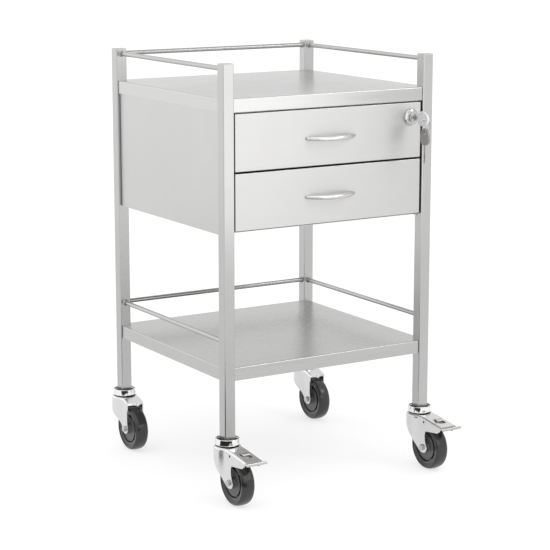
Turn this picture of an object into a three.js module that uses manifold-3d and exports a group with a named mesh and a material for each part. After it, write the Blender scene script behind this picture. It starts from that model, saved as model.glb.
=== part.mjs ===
// Two-drawer instrument cart: a welded frame of square tube on four swivel casters, with a top
// tray, a lower shelf, guard rails on three sides, and a cabinet with two drawers on telescopic
// slides, the upper one with a cam lock.
// Millimetres, +Z up. The drawers face -Y and the floor is z = 0. Inside the group, x = y = 0 is
// the middle of the four posts.

import * as THREE from 'three';
import { mergeVertices } from 'three/addons/utils/BufferGeometryUtils.js';
import Module from 'manifold-3d';

const wasm = await Module();
wasm.setup();

// ---- Driving dimensions ----

const CART_WIDTH = 515; // over the posts
const CART_DEPTH = 495; // over the posts
const GAP = 0.3; // clearance between pieces that touch
const SHEET = 1.2; // cabinet and drawer sheet

const POST_SIZE = 25;
const POST_WALL = 1.5;
const POST_TOP = 907;
const CUP_FLOOR = 129.8; // the posts stand in the caster cups

const RAIL_RADIUS = 5;
const UPPER_RAIL_Z = 896;
const LOWER_RAIL_Z = 336;

const TRAY_TOP = 837;
const SHELF_TOP = 283;
const PAN_DEPTH = 28; // turned-down skirt of the tray and the shelf
const PAN_SHEET = 1.5;
const PAN_INSET = 3; // skirt face behind the posts' outer faces

const CABINET_INSET = 6; // panels behind the posts' outer faces
const CABINET_BOTTOM = 558;
const CABINET_FLOOR = 562;
const REAR_PANEL_GAP = 1.5; // between the side panels and the rear posts
const LOCK_RAIL_BOTTOM = 803; // cross rail that the lock cam hooks behind

const FRONT_WIDTH = 459;
const FRONT_HEIGHT = 118.5;
const FRONT_THICKNESS = 12;
const DRAWER_BOTTOMS = { upper: 687.5, lower: 566 };
const BOX_LIFT = 5; // drawer box above the lower edge of its front
const BOX_HEIGHT = 73;
const BOX_FRONT_HEIGHT = 107;
const BOX_REAR_Y = 205;

const SLIDE_THICKNESS = 12.7;
const SLIDE_LIFT = 45; // slide centre above the lower edge of the drawer front
const OUTER_SLIDE_LENGTH = 440;
const INNER_SLIDE_LENGTH = 400;

const HANDLE_CHORD = 115; // between the middles of the two feet
const HANDLE_REACH = 24; // centre line of the bow in front of the drawer
const HANDLE_RADIUS = 5;

const LOCK_X = 203;
const LOCK_Z = 775;
const BARREL_RADIUS = 9.5;
const BORE_RADIUS = 6.5;
const PLUG_RADIUS = 6.2;
const TAIL_RADIUS = 4; // the plug's tail, which carries the cam
const CAM_REACH = 38;
const KEY_HEAD = 36; // length of the plastic head
const KEY_LENGTH = 75;
const KEY_THICKNESS = 4.6;
const KEY_HOLE_RADIUS = 4;
const KEY_HOLE_FROM_END = 11;
const KEY_HOLE_Y = -297; // ring hole of the key in the lock
const RING_RADIUS = 12.5;
const RING_WIRE = 0.8;

const WHEEL_RADIUS = 50;
const TRAIL = 40; // wheel axle ahead of the swivel axis
const FORK_HALF = 21; // half the width over the fork legs
const FORK_HEAD = 29; // radius of the fork's round back
const FORK_NECK = -32; // where the head has narrowed to the legs
const FORK_SHEET = 2.4;
const FORK_TOP = 119;
const CUP_RADIUS = 26;
const KING_PIN_RADIUS = 5;
const AXLE_RADIUS = 4;
const SLEEVE_RADIUS = 6;
const HUB_RADIUS = 32.5;
const BRAKE_PIN = { y: -45, z: 108, radius: 2.2 };

// ---- Worked-out places ----

const POST_X = (CART_WIDTH - POST_SIZE) / 2;
const POST_Y = (CART_DEPTH - POST_SIZE) / 2;
const POST_INNER_X = POST_X - POST_SIZE / 2;
const POST_INNER_Y = POST_Y - POST_SIZE / 2;
const PAN_X = CART_WIDTH / 2 - PAN_INSET;
const PAN_Y = CART_DEPTH / 2 - PAN_INSET;
const PANEL_X = CART_WIDTH / 2 - CABINET_INSET;
const PANEL_Y = CART_DEPTH / 2 - CABINET_INSET;
const CABINET_TOP = TRAY_TOP - PAN_SHEET - GAP;
const FACE_Y = -PAN_Y; // the drawer fronts are flush with the tray's skirt
const BOX_FRONT_Y = FACE_Y + FRONT_THICKNESS + GAP;
const LINING_FRONT_Y = BOX_FRONT_Y + SHEET - GAP;
const LINING_X = POST_INNER_X - GAP - SHEET; // inner face of the post linings
const SLIDE_X = LINING_X - GAP; // mounting face of the slides
const BOX_X = SLIDE_X - SLIDE_THICKNESS - GAP;

const SIDES = { left: -1, right: 1 };
const ENDS = { front: -1, rear: 1 };

// ---- Solids ----

function solid(geometry) {
  const bare = geometry.clone();
  bare.deleteAttribute('normal');
  bare.deleteAttribute('uv');
  const merged = mergeVertices(bare, 1e-4);
  const mesh = new wasm.Mesh({
    numProp: 3,
    vertProperties: new Float32Array(merged.attributes.position.array),
    triVerts: new Uint32Array(merged.index.array),
  });
  return new wasm.Manifold(mesh);
}

function geometryOf(body) {
  const mesh = body.getMesh();
  const geometry = new THREE.BufferGeometry();
  geometry.setAttribute('position', new THREE.BufferAttribute(mesh.vertProperties, 3));
  geometry.setIndex(new THREE.BufferAttribute(mesh.triVerts, 1));
  const faceted = geometry.toNonIndexed();
  faceted.computeVertexNormals();
  return faceted;
}

function join(bodies) {
  return bodies.reduce((whole, body) => whole.add(body));
}

function cut(body, tools) {
  return tools.reduce((rest, tool) => rest.subtract(tool), body);
}

function block([x0, x1], [y0, y1], [z0, z1]) {
  const geometry = new THREE.BoxGeometry(x1 - x0, y1 - y0, z1 - z0);
  geometry.translate((x0 + x1) / 2, (y0 + y1) / 2, (z0 + z1) / 2);
  return solid(geometry);
}

function shapeOf(points) {
  return new THREE.Shape(points.map(([u, v]) => new THREE.Vector2(u, v)));
}

const AXES = {
  x: new THREE.Vector3(1, 0, 0),
  y: new THREE.Vector3(0, 1, 0),
  z: new THREE.Vector3(0, 0, 1),
};

function extruded(shape, length) {
  return new THREE.ExtrudeGeometry(shape, { depth: length, bevelEnabled: false, curveSegments: 6 });
}

// A profile in (y, z), extruded along X.
function prismX(shape, [x0, x1]) {
  const geometry = extruded(shape, x1 - x0);
  geometry.applyMatrix4(new THREE.Matrix4().makeBasis(AXES.y, AXES.z, AXES.x));
  geometry.translate(x0, 0, 0);
  return solid(geometry);
}

// A profile in (x, z), extruded along Y.
function prismY(shape, [y0, y1]) {
  const geometry = extruded(shape, y1 - y0);
  geometry.applyMatrix4(new THREE.Matrix4().makeBasis(AXES.x, AXES.z, AXES.y.clone().negate()));
  geometry.translate(0, y1, 0);
  return solid(geometry);
}

// A profile in (x, y), extruded along Z.
function prismZ(shape, [z0, z1]) {
  const geometry = extruded(shape, z1 - z0);
  geometry.translate(0, 0, z0);
  return solid(geometry);
}

function disc(u, v, radius) {
  return new THREE.Shape().absarc(u, v, radius, 0, 2 * Math.PI);
}

// A profile of (radius, height) points turned about Z.
function turned(profile, segments) {
  const points = profile.map(([radius, height]) => new THREE.Vector2(radius, height));
  return new THREE.LatheGeometry(points, segments).rotateX(Math.PI / 2);
}

// ---- Scene graph ----

function steel(color, roughness) {
  return new THREE.MeshStandardMaterial({ color, roughness, metalness: 1 });
}

function plastic(color, roughness) {
  return new THREE.MeshStandardMaterial({ color, roughness, metalness: 0 });
}

const brushed = () => steel(0xc9c9c7, 0.38);
const polished = () => steel(0xdedede, 0.12);
const zinc = () => steel(0xb4b6b8, 0.32);

function place(parent, name, geometry, material, position = [0, 0, 0]) {
  const mesh = new THREE.Mesh(geometry, material);
  mesh.name = name;
  mesh.position.set(...position);
  parent.add(mesh);
  return mesh;
}

function subgroup(parent, position = [0, 0, 0]) {
  const group = new THREE.Group();
  group.position.set(...position);
  parent.add(group);
  return group;
}

// ---- Frame ----

// Square tube, open below and closed by a welded cap on top.
function postGeometry() {
  const half = POST_SIZE / 2;
  const bore = half - POST_WALL;
  const foot = CUP_FLOOR + GAP;
  const tube = block([-half, half], [-half, half], [foot, POST_TOP]);
  return geometryOf(cut(tube, [block([-bore, bore], [-bore, bore], [foot - 1, POST_TOP - POST_WALL])]));
}

function railGeometry(length) {
  return new THREE.CylinderGeometry(RAIL_RADIUS, RAIL_RADIUS, length, 12);
}

// A sheet pan turned upside down, with its corners notched round the posts.
function panGeometry(top) {
  const bottom = top - PAN_DEPTH;
  const skirts = block([-PAN_X, PAN_X], [-PAN_Y, PAN_Y], [bottom, top]);
  const hollow = block(
    [PAN_SHEET - PAN_X, PAN_X - PAN_SHEET],
    [PAN_SHEET - PAN_Y, PAN_Y - PAN_SHEET],
    [bottom - 1, top - PAN_SHEET],
  );
  const notchX = POST_INNER_X - GAP;
  const notchY = POST_INNER_Y - GAP;
  const notches = [];
  for (const x of [[-CART_WIDTH, -notchX], [notchX, CART_WIDTH]]) {
    for (const y of [[-CART_DEPTH, -notchY], [notchY, CART_DEPTH]]) {
      notches.push(block(x, y, [bottom - 1, top + 1]));
    }
  }
  return geometryOf(cut(skirts, [hollow, ...notches]));
}

function addFrame(cart) {
  for (const [end, endSign] of Object.entries(ENDS)) {
    for (const [side, sideSign] of Object.entries(SIDES)) {
      const position = [sideSign * POST_X, endSign * POST_Y, 0];
      place(cart, `post_${end}_${side}`, postGeometry(), brushed(), position);
    }
  }
  for (const [level, z] of [['upper', UPPER_RAIL_Z], ['lower', LOWER_RAIL_Z]]) {
    const sideRail = railGeometry(2 * (POST_INNER_Y - GAP));
    for (const [side, sign] of Object.entries(SIDES)) {
      place(cart, `${level}_rail_${side}`, sideRail, brushed(), [sign * POST_X, 0, z]);
    }
    const rearRail = railGeometry(2 * (POST_INNER_X - GAP)).rotateZ(Math.PI / 2);
    place(cart, `${level}_rail_rear`, rearRail, brushed(), [0, POST_Y, z]);
  }
  place(cart, 'top_tray', panGeometry(TRAY_TOP), brushed());
  place(cart, 'lower_shelf', panGeometry(SHELF_TOP), brushed());
}

// ---- Cabinet ----

// Folded sheet round the inside of the posts, with a floor and a cross rail above the drawers.
function cabinetGeometry() {
  const walls = [CABINET_BOTTOM, CABINET_TOP];
  const frontY = -POST_INNER_Y + GAP;
  const rearY = POST_INNER_Y - REAR_PANEL_GAP;
  const liningX = LINING_X + SHEET;
  const bodies = [
    block([-liningX, liningX], [PANEL_Y - SHEET, PANEL_Y], walls),
    block([-liningX, liningX], [LINING_FRONT_Y, PANEL_Y], [CABINET_FLOOR, CABINET_FLOOR + SHEET]),
    block([-PANEL_X, PANEL_X], [frontY, rearY], [CABINET_FLOOR, CABINET_FLOOR + SHEET]),
    block([-liningX, liningX], [LINING_FRONT_Y, LINING_FRONT_Y + SHEET], [LOCK_RAIL_BOTTOM, CABINET_TOP]),
  ];
  for (const sign of Object.values(SIDES)) {
    const span = (from, to) => [sign * from, sign * to].sort((a, b) => a - b);
    bodies.push(
      block(span(PANEL_X - SHEET, PANEL_X), [frontY, rearY], walls),
      block(span(LINING_X, PANEL_X), [frontY, frontY + SHEET], walls),
      block(span(LINING_X, PANEL_X), [rearY - SHEET, rearY], walls),
      block(span(LINING_X, liningX), [LINING_FRONT_Y, frontY + SHEET], walls),
      block(span(LINING_X, liningX), [rearY - SHEET, PANEL_Y], walls),
    );
  }
  return geometryOf(join(bodies));
}

// ---- Telescopic slides ----

// Each member is a C channel, given by where its web and its open edge are across the slide.
const SLIDE_MEMBERS = {
  outer: { web: 0, edge: 8, half: 22.5, length: OUTER_SLIDE_LENGTH },
  middle: { web: 2.2, edge: 11, half: 17.5, length: INNER_SLIDE_LENGTH },
  inner: { web: SLIDE_THICKNESS - SHEET, edge: 4.4, half: 12.5, length: INNER_SLIDE_LENGTH },
};

function slideGeometry({ web, edge, half, length }, sign) {
  const across = (t) => -sign * t;
  const flangeInner = half - SHEET;
  const webInner = edge > web ? web + SHEET : web;
  const webOuter = edge > web ? web : web + SHEET;
  const profile = shapeOf([
    [across(webOuter), -half],
    [across(edge), -half],
    [across(edge), -flangeInner],
    [across(webInner), -flangeInner],
    [across(webInner), flangeInner],
    [across(edge), flangeInner],
    [across(edge), half],
    [across(webOuter), half],
  ]);
  return geometryOf(prismY(profile, [0, length]));
}

function addSlides(cart, level) {
  const z = DRAWER_BOTTOMS[level] + SLIDE_LIFT;
  for (const [side, sign] of Object.entries(SIDES)) {
    for (const [member, size] of Object.entries(SLIDE_MEMBERS)) {
      const position = [sign * SLIDE_X, LINING_FRONT_Y, z];
      place(cart, `${level}_slide_${member}_${side}`, slideGeometry(size, sign), zinc(), position);
    }
  }
}

// ---- Drawers ----

function lockHole([y0, y1], z) {
  return prismY(disc(LOCK_X, z, BARREL_RADIUS + 0.4), [y0, y1]);
}

// The front is a shallow pan, open behind. Heights are above its own lower edge.
function frontGeometry(hasLock) {
  const half = FRONT_WIDTH / 2;
  const rear = FACE_Y + FRONT_THICKNESS;
  const pan = block([-half, half], [FACE_Y, rear], [0, FRONT_HEIGHT]);
  const tools = [
    block([SHEET - half, half - SHEET], [FACE_Y + SHEET, rear + 1], [SHEET, FRONT_HEIGHT - SHEET]),
  ];
  if (hasLock) {
    tools.push(lockHole([FACE_Y - 1, rear], LOCK_Z - DRAWER_BOTTOMS.upper));
  }
  return geometryOf(cut(pan, tools));
}

function boxGeometry(hasLock) {
  const sideTop = BOX_LIFT + BOX_HEIGHT;
  const frontTop = BOX_LIFT + BOX_FRONT_HEIGHT;
  const tray = block([-BOX_X, BOX_X], [BOX_FRONT_Y, BOX_REAR_Y], [BOX_LIFT, sideTop]);
  const inside = block(
    [SHEET - BOX_X, BOX_X - SHEET],
    [BOX_FRONT_Y + SHEET, BOX_REAR_Y - SHEET],
    [BOX_LIFT + SHEET, sideTop + 1],
  );
  const frontWall = block([-BOX_X, BOX_X], [BOX_FRONT_Y, BOX_FRONT_Y + SHEET], [BOX_LIFT, frontTop]);
  const box = cut(tray, [inside]).add(frontWall);
  if (!hasLock) {
    return geometryOf(box);
  }
  const hole = lockHole([BOX_FRONT_Y - 1, BOX_FRONT_Y + SHEET + 1], LOCK_Z - DRAWER_BOTTOMS.upper);
  return geometryOf(cut(box, [hole]));
}

// A round bar bent to an arc, with both ends cut flat against the drawer front.
function handleGeometry() {
  const halfChord = HANDLE_CHORD / 2;
  const radius = (halfChord ** 2 + HANDLE_REACH ** 2) / (2 * HANDLE_REACH);
  const halfAngle = Math.asin(halfChord / radius);
  const overrun = 1.12; // the bar runs a little past the face before it is trimmed
  const points = [];
  const steps = 16;
  for (let i = 0; i <= steps; i += 1) {
    const angle = halfAngle * overrun * ((2 * i) / steps - 1);
    const depth = radius * (1 - Math.cos(angle)) - HANDLE_REACH;
    points.push(new THREE.Vector3(radius * Math.sin(angle), depth, 0));
  }
  const path = new THREE.CatmullRomCurve3(points);
  const bar = new THREE.ExtrudeGeometry(disc(0, 0, HANDLE_RADIUS), {
    steps,
    extrudePath: path,
    curveSegments: 5,
  });
  const behindFace = block([-CART_WIDTH, CART_WIDTH], [-GAP, CART_DEPTH], [-POST_SIZE, POST_SIZE]);
  return geometryOf(cut(solid(bar), [behindFace]));
}

function addDrawer(cart, level) {
  const hasLock = level === 'upper';
  const bottom = DRAWER_BOTTOMS[level];
  const drawer = subgroup(cart, [0, 0, bottom]);
  place(drawer, `${level}_drawer_front`, frontGeometry(hasLock), brushed());
  place(drawer, `${level}_drawer_box`, boxGeometry(hasLock), zinc());
  const handlePosition = [0, FACE_Y, FRONT_HEIGHT / 2 - 1.5];
  place(drawer, `${level}_drawer_handle`, handleGeometry(), polished(), handlePosition);
}

// ---- Lock, keys and ring ----

// Threaded body with a domed flange. Heights are in front of the drawer's face.
function barrelGeometry() {
  const profile = [
    [BORE_RADIUS, -15.2],
    [BARREL_RADIUS, -15.2],
    [BARREL_RADIUS, GAP],
    [18, GAP],
    [18, 1.6],
    [16.3, 4.6],
    [12.4, 6.4],
    [10.6, 6.8],
    [10.6, 12.2],
    [9.6, 13],
    [BORE_RADIUS, 13],
    [BORE_RADIUS, -15.2],
  ];
  return turned(profile, 24);
}

function plugGeometry() {
  const front = 11;
  const rear = -15;
  const tail = -20;
  const profile = [
    [0, tail],
    [TAIL_RADIUS, tail],
    [TAIL_RADIUS, rear],
    [PLUG_RADIUS, rear],
    [PLUG_RADIUS, front],
    [0, front],
  ];
  const plug = solid(turned(profile, 24));
  const keyway = block([-1.4, 1.4], [-4.4, 4.4], [-12.2, front + 1]);
  return geometryOf(cut(plug, [keyway]));
}

// A flat finger on the tail of the plug. It lies sideways when the lock is open.
function camGeometry() {
  const outline = new THREE.Shape();
  outline.absarc(0, 0, 8, -Math.PI / 2, Math.PI / 2);
  outline.absarc(6 - CAM_REACH, 0, 6, Math.PI / 2, 1.5 * Math.PI);
  outline.holes.push(disc(0, 0, TAIL_RADIUS + GAP));
  return geometryOf(prismY(outline, [0, 2.5]));
}

// The key hangs from its ring hole: head round the origin, blade pointing down.
function keyGeometry() {
  const top = KEY_HOLE_FROM_END;
  const tip = KEY_HOLE_FROM_END - KEY_LENGTH;
  const headEnd = KEY_HOLE_FROM_END - KEY_HEAD;
  const head = new THREE.Shape();
  head.moveTo(-4, headEnd);
  head.quadraticCurveTo(-12, headEnd + 2, -15.5, headEnd + 12);
  head.bezierCurveTo(-15.5, headEnd + 24, -10, top, 0, top);
  head.bezierCurveTo(10, top, 15.5, headEnd + 24, 15.5, headEnd + 12);
  head.quadraticCurveTo(12, headEnd + 2, 4, headEnd);
  head.holes.push(disc(0, 0, KEY_HOLE_RADIUS));
  const root = headEnd + 2;
  const shoulder = tip + 4;
  const blade = shapeOf([[-4, root], [-4, shoulder], [-1, tip], [1, tip], [4, shoulder], [4, root]]);
  return geometryOf(join([
    prismX(head, [-KEY_THICKNESS / 2, KEY_THICKNESS / 2]),
    prismX(blade, [-1, 1]),
  ]));
}

function addLock(cart) {
  const lock = subgroup(cart, [LOCK_X, FACE_Y, LOCK_Z]);
  const barrel = place(lock, 'lock_barrel', barrelGeometry(), polished());
  const plug = place(lock, 'lock_plug', plugGeometry(), polished());
  for (const mesh of [barrel, plug]) {
    mesh.rotation.x = Math.PI / 2;
  }
  place(lock, 'lock_cam', camGeometry(), zinc(), [0, 15.5, 0]);

  const key = place(cart, 'key', keyGeometry(), plastic(0xdcdcda, 0.4), [LOCK_X, KEY_HOLE_Y, LOCK_Z]);
  key.rotation.x = Math.PI / 2;
  const wireTop = LOCK_Z - KEY_HOLE_RADIUS + RING_WIRE + 2 * GAP;
  const wireBottom = wireTop - 2 * RING_RADIUS;
  const ring = new THREE.TorusGeometry(RING_RADIUS, RING_WIRE, 6, 28).rotateX(Math.PI / 2);
  place(cart, 'key_ring', ring, polished(), [LOCK_X, KEY_HOLE_Y, wireTop - RING_RADIUS]);
  const spareHole = wireBottom + RING_WIRE + 2 * GAP - KEY_HOLE_RADIUS;
  place(cart, 'spare_key', keyGeometry(), plastic(0x8f8a88, 0.45), [LOCK_X, KEY_HOLE_Y, spareHole]);
}

// ---- Casters ----
// Each caster stands under its post with the swivel axis at x = y = 0.

// Fixed cup with its king pin below and the plug that fills the foot of the post above.
function cupGeometry() {
  const bottom = 120.8;
  const rim = 134.3;
  const profile = [
    [0, 110.8],
    [8, 110.8],
    [8, 113.4],
    [KING_PIN_RADIUS, 113.4],
    [KING_PIN_RADIUS, FORK_TOP + GAP],
    [19, FORK_TOP + GAP],
    [19, bottom],
    [CUP_RADIUS, bottom],
    [CUP_RADIUS - 0.6, rim - 1],
    [CUP_RADIUS - 1.6, rim],
    [CUP_RADIUS - 3, rim],
    [CUP_RADIUS - 3, CUP_FLOOR],
    [10.6, CUP_FLOOR],
    [10.6, 166],
    [0, 168],
  ];
  return turned(profile, 18);
}

// Side outlines of the fork in (y, z). The leg narrows to a round end at the axle.
function plainForkOutline() {
  const outline = new THREE.Shape();
  outline.moveTo(FORK_HEAD + 1, FORK_TOP);
  outline.lineTo(FORK_HEAD + 1, 98);
  outline.quadraticCurveTo(14, 92, 2, 81);
  outline.lineTo(-16, 66);
  outline.quadraticCurveTo(-23, 60, -27, 50);
  outline.quadraticCurveTo(-32, 39, -40, 39);
  outline.quadraticCurveTo(-54, 39, -55, 54);
  outline.quadraticCurveTo(-52, 60, -51.5, 68);
  outline.lineTo(-51.5, 112.5);
  outline.lineTo(-33, FORK_TOP);
  return outline;
}

function brakedForkOutline() {
  const outline = new THREE.Shape();
  outline.moveTo(FORK_HEAD + 1, FORK_TOP);
  outline.lineTo(FORK_HEAD + 1, 98);
  outline.quadraticCurveTo(16, 96, 5, 85);
  outline.lineTo(-16, 58);
  outline.quadraticCurveTo(-22, 50, -28, 43);
  outline.quadraticCurveTo(-33, 38.5, -41, 38.5);
  outline.quadraticCurveTo(-55, 38.5, -57.5, 52);
  outline.quadraticCurveTo(-50, 62, -49.5, 76);
  outline.quadraticCurveTo(-50, 89, -57, 89.7);
  outline.lineTo(-94, 94);
  outline.quadraticCurveTo(-101, 96, -107, 107.5);
  outline.lineTo(-107, 110.2);
  outline.lineTo(-38, FORK_TOP);
  return outline;
}

// Seen from above: straight legs in front, widening to a round head behind.
function forkPlan(half, head) {
  const front = -3 * WHEEL_RADIUS;
  const bulge = head / 2.4; // how gently the sides turn from the head to the legs
  const plan = new THREE.Shape();
  plan.moveTo(-half, front);
  plan.lineTo(half, front);
  plan.lineTo(half, FORK_NECK);
  plan.bezierCurveTo(half, FORK_NECK + bulge, head, -bulge, head, 0);
  plan.absarc(0, 0, head, 0, Math.PI);
  plan.bezierCurveTo(-head, -bulge, -half, FORK_NECK + bulge, -half, FORK_NECK);
  return plan;
}

// Everything under the roof: the roof is flat, then slopes down from (bend) to (lip).
function underRoof([bendY, bendZ], [lipY, lipZ]) {
  return shapeOf([
    [2 * WHEEL_RADIUS, 0],
    [2 * WHEEL_RADIUS, bendZ - FORK_SHEET],
    [bendY, bendZ - FORK_SHEET],
    [lipY, lipZ - FORK_SHEET],
    [lipY, 0],
  ]);
}

function forkGeometry(hasBrake) {
  const wide = [-2 * FORK_HALF, 2 * FORK_HALF];
  const outline = hasBrake ? brakedForkOutline() : plainForkOutline();
  const slope = hasBrake ? [[-38, FORK_TOP], [-120, 108.6]] : [[-33, FORK_TOP], [-68, 106.7]];
  const outerPlan = forkPlan(FORK_HALF, FORK_HEAD);
  const innerPlan = forkPlan(FORK_HALF - FORK_SHEET, FORK_HEAD - FORK_SHEET);
  const outside = prismZ(outerPlan, [0, FORK_TOP]).intersect(prismX(outline, wide));
  const inside = prismZ(innerPlan, [0, FORK_TOP]).intersect(prismX(underRoof(...slope), wide));
  const tools = [
    inside,
    prismZ(disc(0, 0, KING_PIN_RADIUS + 0.5), [FORK_TOP - 10, FORK_TOP + 1]),
    prismX(disc(-TRAIL, WHEEL_RADIUS, AXLE_RADIUS + GAP), wide),
  ];
  if (hasBrake) {
    const windowAround = block([-10, 10], [-88, -62], [100, FORK_TOP + 1]);
    tools.push(windowAround, prismX(disc(BRAKE_PIN.y, BRAKE_PIN.z, BRAKE_PIN.radius + 0.4), wide));
  }
  return geometryOf(cut(outside, tools));
}

// Bolt with a sleeve between the fork legs, turned about its own axis.
function axleGeometry() {
  const leg = FORK_HALF - FORK_SHEET - GAP;
  const seat = FORK_HALF + GAP;
  const hexes = [-seat - 5, seat].map((from) => (
    solid(new THREE.CylinderGeometry(7, 7, 5, 6).rotateX(Math.PI / 2).translate(0, 0, from + 2.5))
  ));
  const shaft = turned([[0, -seat - 1], [AXLE_RADIUS, -seat - 1], [AXLE_RADIUS, -leg], [SLEEVE_RADIUS, -leg],
    [SLEEVE_RADIUS, leg], [AXLE_RADIUS, leg], [AXLE_RADIUS, seat + 1], [0, seat + 1]], 16);
  return geometryOf(join([solid(shaft), ...hexes]));
}

// A ring that is the same on both sides: half its profile runs outwards from the bore.
function symmetricRing(half, segments) {
  const lower = half.map(([radius, height]) => [radius, -height]);
  const upper = half.slice().reverse();
  return turned([...lower, ...upper, lower[0]], segments);
}

function hubGeometry() {
  const bore = SLEEVE_RADIUS + GAP;
  return symmetricRing([[bore, 17.6], [11, 17.6], [12, 9], [28, 9], [29.5, 11.5], [HUB_RADIUS, 11.5]], 20);
}

function tyreGeometry() {
  return symmetricRing([[HUB_RADIUS + GAP, 11.5], [44, 15.2], [48, 13], [WHEEL_RADIUS, 6.5]], 32);
}

// One sheet lever: pin, arm with the brake shoe, wide pedal in front and release tab on top.
function brakeGeometry() {
  const arm = shapeOf([
    [-40.5, 110.5],
    [-40.5, 105.5],
    [-52, 101.4],
    [-61, 100],
    [-68, 105],
    [-88, 106.4],
    [-104, 104],
    [-104, 106.2],
    [-88, 108.6],
    [-66, 111],
    [-50, 112.5],
  ]);
  const pedal = shapeOf([
    [-103, 103.8],
    [-111, 104.4],
    [-115.8, 107.2],
    [-116.6, 104.6],
    [-119, 104.6],
    [-119, 109.6],
    [-117, 110.8],
    [-110.5, 106.8],
    [-103, 106.2],
  ]);
  const tab = shapeOf([[-77, 106], [-74.4, 106], [-75.8, 116.2], [-67, 117.2], [-67, 119], [-78.4, 117.8]]);
  const width = 2 * (FORK_HALF - FORK_SHEET) - 5;
  const pedalHalf = 26;
  const besideApron = block([width / 2, 2 * pedalHalf], [-109, -100], [90, 120]);
  const trimmed = cut(prismX(pedal, [-pedalHalf, pedalHalf]), [besideApron, besideApron.mirror([1, 0, 0])]);
  return geometryOf(join([
    prismX(disc(BRAKE_PIN.y, BRAKE_PIN.z, BRAKE_PIN.radius), [-20.4, 20.4]),
    prismX(arm, [-width / 2, width / 2]),
    trimmed,
    prismX(tab, [-8.2, 8.2]),
  ]));
}

function addCaster(cart, end, side) {
  const hasBrake = end === 'front';
  const caster = subgroup(cart, [SIDES[side] * POST_X, ENDS[end] * POST_Y, 0]);
  const name = `${end}_${side}`;
  place(caster, `caster_cup_${name}`, cupGeometry(), polished());
  place(caster, `caster_fork_${name}`, forkGeometry(hasBrake), polished());
  if (hasBrake) {
    place(caster, `brake_pedal_${name}`, brakeGeometry(), polished());
  }
  const wheel = subgroup(caster, [0, -TRAIL, WHEEL_RADIUS]);
  wheel.rotation.y = Math.PI / 2;
  place(wheel, `caster_axle_${name}`, axleGeometry(), zinc());
  place(wheel, `wheel_hub_${name}`, hubGeometry(), plastic(0x6f6f70, 0.55));
  place(wheel, `wheel_tyre_${name}`, tyreGeometry(), plastic(0x2c2c2d, 0.7));
}

// ---- Assembly ----

const cart = new THREE.Group();
addFrame(cart);
place(cart, 'cabinet_shell', cabinetGeometry(), brushed());
for (const level of Object.keys(DRAWER_BOTTOMS)) {
  addSlides(cart, level);
  addDrawer(cart, level);
}
addLock(cart);
for (const end of Object.keys(ENDS)) {
  for (const side of Object.keys(SIDES)) {
    addCaster(cart, end, side);
  }
}

// The origin is under the middle of the whole cart, with its front casters' pedals.
const bounds = new THREE.Box3().setFromObject(cart, true);
cart.position.y = -(bounds.min.y + bounds.max.y) / 2;

export default cart;
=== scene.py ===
import math

import bmesh
import bpy
from mathutils import Matrix, Vector


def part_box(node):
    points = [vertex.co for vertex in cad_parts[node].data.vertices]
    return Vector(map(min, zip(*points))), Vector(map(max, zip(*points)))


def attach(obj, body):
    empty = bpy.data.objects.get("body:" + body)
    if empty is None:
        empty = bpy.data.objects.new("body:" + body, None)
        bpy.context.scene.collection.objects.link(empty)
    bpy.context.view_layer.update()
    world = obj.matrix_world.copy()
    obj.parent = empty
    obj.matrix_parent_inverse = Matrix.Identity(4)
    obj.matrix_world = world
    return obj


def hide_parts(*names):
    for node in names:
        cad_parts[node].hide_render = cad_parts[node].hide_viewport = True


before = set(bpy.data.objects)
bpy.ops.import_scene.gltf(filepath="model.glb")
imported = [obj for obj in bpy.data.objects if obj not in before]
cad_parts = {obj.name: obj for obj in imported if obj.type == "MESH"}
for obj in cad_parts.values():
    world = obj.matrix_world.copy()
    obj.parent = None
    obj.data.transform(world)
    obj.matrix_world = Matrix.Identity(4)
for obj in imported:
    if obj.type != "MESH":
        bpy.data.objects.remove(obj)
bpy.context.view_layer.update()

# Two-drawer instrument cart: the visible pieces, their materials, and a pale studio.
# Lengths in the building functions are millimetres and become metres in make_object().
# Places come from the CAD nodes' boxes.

MM = 0.001
SIDES = {"left": -1, "right": 1}
ENDS = ("front", "rear")

# ---- Driving dimensions that the node boxes don't give ----

SHEET = 1.2
PAN_SHEET = 1.5
PAN_BEND = 2.4  # outer radius
POST_WALL = 1.5
POST_CORNER = 2.2
POST_CLEARANCE = 0.3
REAR_CLEARANCE = 1.5  # between the cabinet's rear panels and the posts
CABINET_FLOOR = 562.0
LOCK_RAIL_BOTTOM = 803.0
SHEET_BEND = 1.6
DRAWER_SIDE = 73.0  # height of the tray's low walls

BARREL_RADIUS = 9.5
KEY_HEAD = 36.0
KEY_HOLE_RADIUS = 4.0
KEY_HOLE_FROM_END = 11.0
RING_WIRE = 0.45  # radius
RING_TURNS = 1.94

CUP_RADIUS = 26.0
CUP_BOTTOM = 120.8
CUP_RECESS = 129.8
CUP_RIM = 134.3
FORK_SHEET = 2.4
FORK_BEND = 3.4
FORK_NECK = -32.0  # where the fork's round head has narrowed to its legs
PLAIN_ROOF = (-33.0, 12.3 / 35)  # where the roof starts to fall, and its slope
BRAKED_ROOF = (-38.0, 10.4 / 82)
BRAKE_PIN = (-45.0, 108.0)
WHEEL_RADIUS = 50.0
TRAIL = 40.0  # axle ahead of the swivel axis
AXLE = (-TRAIL, WHEEL_RADIUS)
AXLE_END = 5.3  # from a fork leg out to the axle's end
BOLT_HEAD = 5.0
AXLE_ALONG_X = Matrix.Translation((0, *AXLE)) @ Matrix.Rotation(math.pi / 2, 4, "Y")
HUB_RADIUS = 32.5
DISC_RADIUS = 29.0  # the hub's plain face
BOLT_CORNER = 7.0

# Camera, from the middle of the four posts on the floor.
CAMERA_AZIMUTH = -31.47
CAMERA_PITCH = 11.36
CAMERA_FROM_CENTRE = (-2080.5, -3422.7, 1216.4)
LENS = 120.55


# ---- Node boxes ----


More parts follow.
